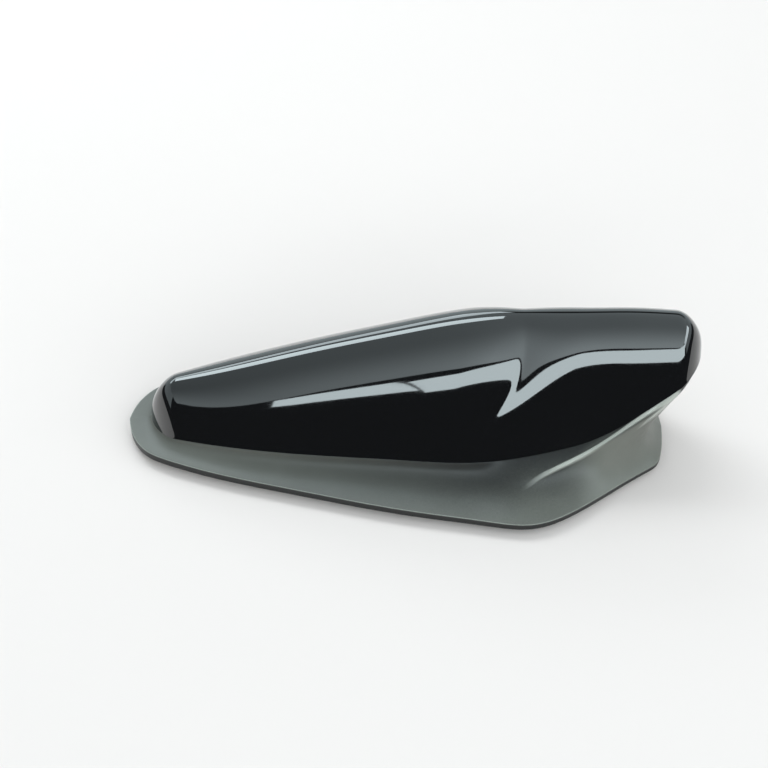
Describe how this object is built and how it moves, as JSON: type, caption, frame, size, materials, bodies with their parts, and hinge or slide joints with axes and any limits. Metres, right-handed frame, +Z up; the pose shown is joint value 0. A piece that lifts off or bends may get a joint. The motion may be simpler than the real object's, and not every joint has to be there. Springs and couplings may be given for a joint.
{
  "type": "car roof gps antenna",
  "caption": "Low streamlined roof antenna: gloss black cover with a raised tail on a dark grey moulded boot, with GPS patch and phone aerial inside.",
  "frame": {"origin": "middle of the bounding box, on the underside that lies on the roof", "axes": "+X towards the raised tail, +Y to the car's right of the part as seen from above with the nose left, +Z up from the roof"},
  "size_m": [0.1658, 0.0814, 0.0452],
  "materials": {
    "gloss_black": "gloss black paint over moulded plastic",
    "boot_rubber": "satin dark grey moulded rubber",
    "cast_alloy": "die cast, yellow passivated",
    "seal_foam": "closed cell foam",
    "plated_steel": "zinc plated",
    "board_green": "solder resist over glass epoxy",
    "tape_white": "adhesive foam",
    "patch_ceramic": "sintered ceramic, silvered top",
    "tinned_brass": "tinned",
    "tinned_steel": "tin plate",
    "socket_plastic": "moulded black nylon",
    "insulator_white": "turned fluoropolymer",
    "jack_brass": "gold flashed",
    "blade_copper": "glass epoxy sheet with etched copper"
  },
  "bodies": {
    "root": {"radome_cover": "gloss_black", "base_boot": "boot_rubber", "chassis_plate": "cast_alloy", "hub_seal": "seal_foam", "threaded_insert": "plated_steel", "cover_screws": "plated_steel", "board_screws": "plated_steel", "main_circuit_board": "board_green", "patch_tape": "tape_white", "patch_antenna": "patch_ceramic", "patch_feed_pin": "tinned_brass", "amplifier_shield": "tinned_steel", "connector_shroud": "socket_plastic", "gps_ferrule": "jack_brass", "gps_insulator": "insulator_white", "gps_centre_pin": "jack_brass", "phone_ferrule": "jack_brass", "phone_insulator": "insulator_white", "phone_centre_pin": "jack_brass", "phone_antenna_blade": "blade_copper", "blade_carrier": "socket_plastic", "blade_contact": "jack_brass"}
  },
  "joints": []
}
